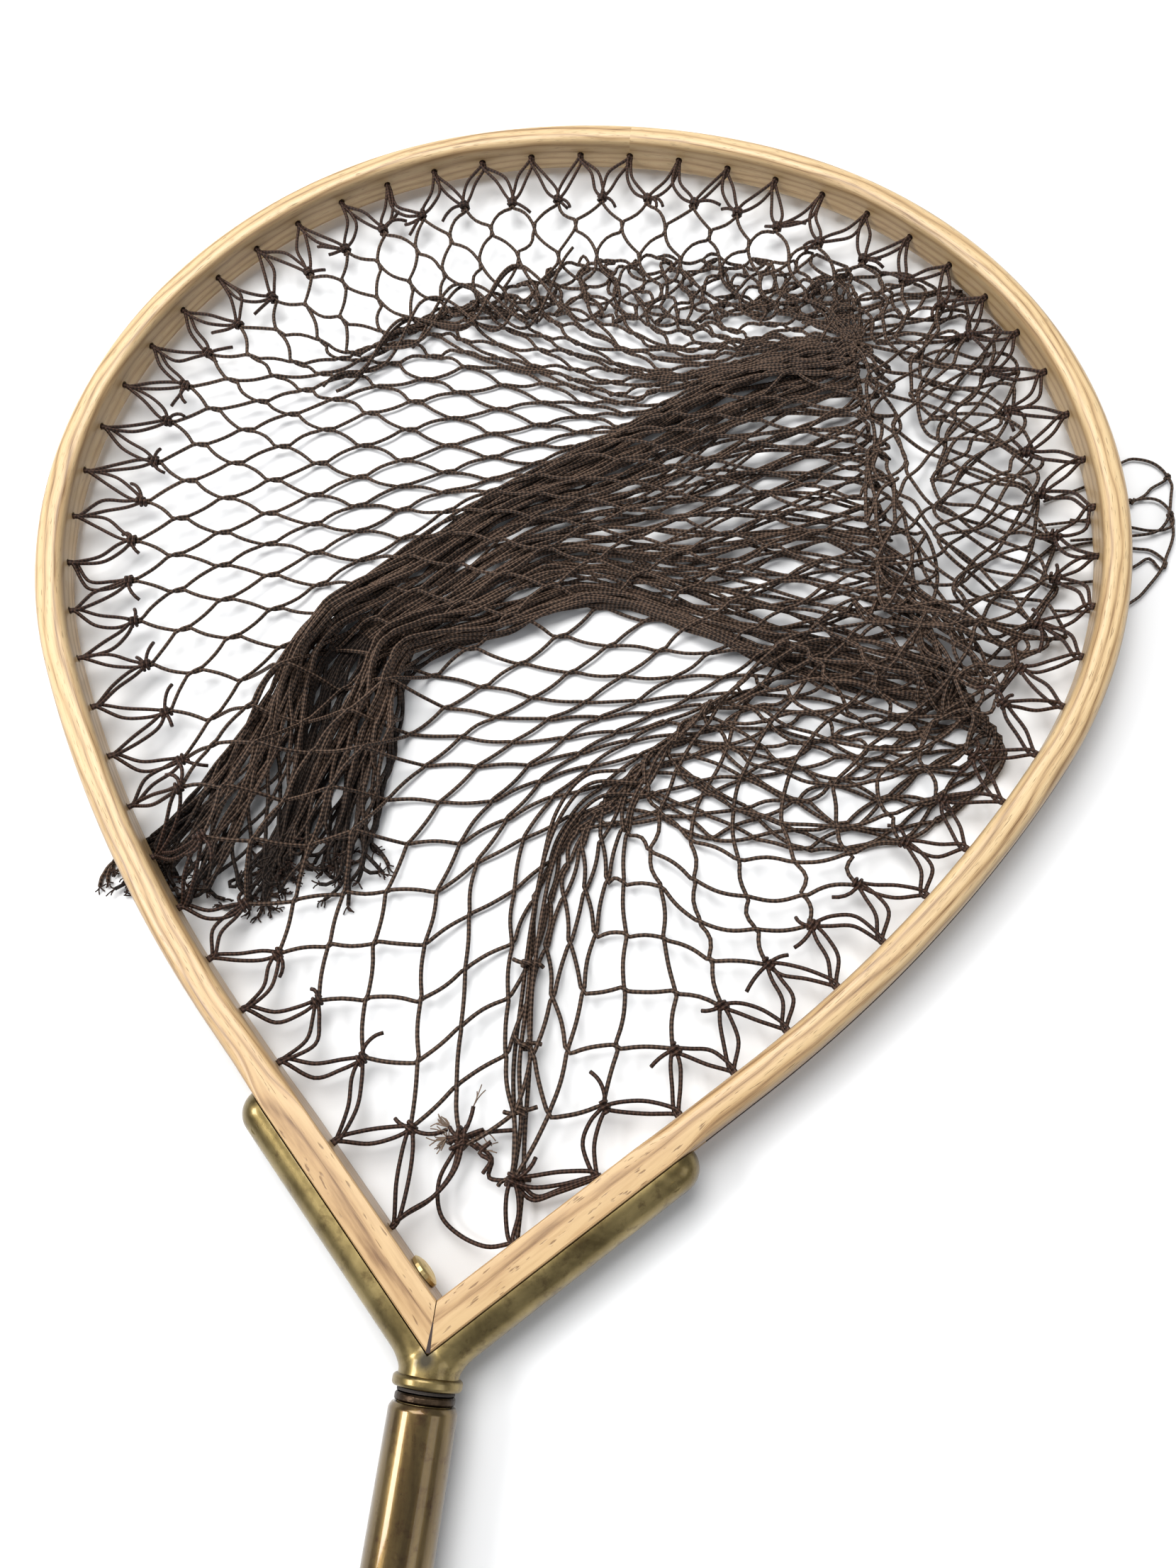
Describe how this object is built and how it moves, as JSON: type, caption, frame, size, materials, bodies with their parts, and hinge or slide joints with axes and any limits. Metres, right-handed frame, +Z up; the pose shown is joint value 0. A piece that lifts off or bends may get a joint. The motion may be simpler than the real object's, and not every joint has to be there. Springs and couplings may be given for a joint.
{
  "type": "landing net",
  "caption": "Landing net: a steam-bent ash bow in a brass fork with a knotless mesh bag, on a telescopic brass handle whose head unscrews.",
  "frame": {"origin": "middle of the whole length on the surface the net lies on, under the handle's axis", "axes": "+Y along the handle from the butt to the crown of the bow, +Z up from the surface, +X to the right of the handle"},
  "size_m": [0.4286, 0.9379, 0.024],
  "materials": {
    "ash": "oiled steam-bent ash, satin",
    "fork_brass": "aged cast brass, polished, with tarnish",
    "tube_brass": "brown patinated brass tube, mottled",
    "inner_brass": "clean turned brass",
    "steel": "dull machined steel",
    "fibre": "dark vulcanised fibre",
    "twine": "dark brown braided nylon twine"
  },
  "bodies": {
    "handle": {"handle_tube": "tube_brass", "mouth_bush": "fibre", "butt_cap": "tube_brass", "butt_pin": "inner_brass"},
    "slide": {"slide_tube": "inner_brass", "threaded_ferrule": "inner_brass", "stop_sleeve": "inner_brass", "stop_pin": "steel"},
    "seat": {"seat_washer": "fibre"},
    "head": {"arm_bolt_left": "steel", "arm_nut_left": "inner_brass", "arm_pin_left": "fork_brass", "arm_pin_right": "fork_brass", "arm_screw_right": "steel", "ash_bow": "ash", "brass_fork": "fork_brass", "groove_cord": "twine", "head_stud": "steel", "net_flat": "twine", "net_gather": "twine", "net_low_fold": "twine", "net_seam_knot": "twine", "net_seam_lacing": "twine", "net_side_heap": "twine", "net_tail_end": "twine", "net_tail_left": "twine", "net_tail_right": "twine", "net_top_fold": "twine", "rim_ties": "twine"}
  },
  "joints": [
    {"name": "telescope", "type": "slide", "parent": "handle", "child": "slide", "axis": [0, 1, 0], "range_m": [0, 0.315]},
    {"name": "head_advance", "type": "slide", "parent": "slide", "child": "seat", "axis": [0, 1, 0], "range_m": [0, 0.0134]},
    {"name": "head_turn", "type": "hinge", "parent": "seat", "child": "head", "pos_m": [0, -0.05057, 0.012], "axis": [0, 1, 0], "range_deg": [0, 3780]}
  ],
  "couplings": [
    {"joint": "head_advance", "follows": "head_turn", "m_per_rad": 0.00020213}
  ]
}
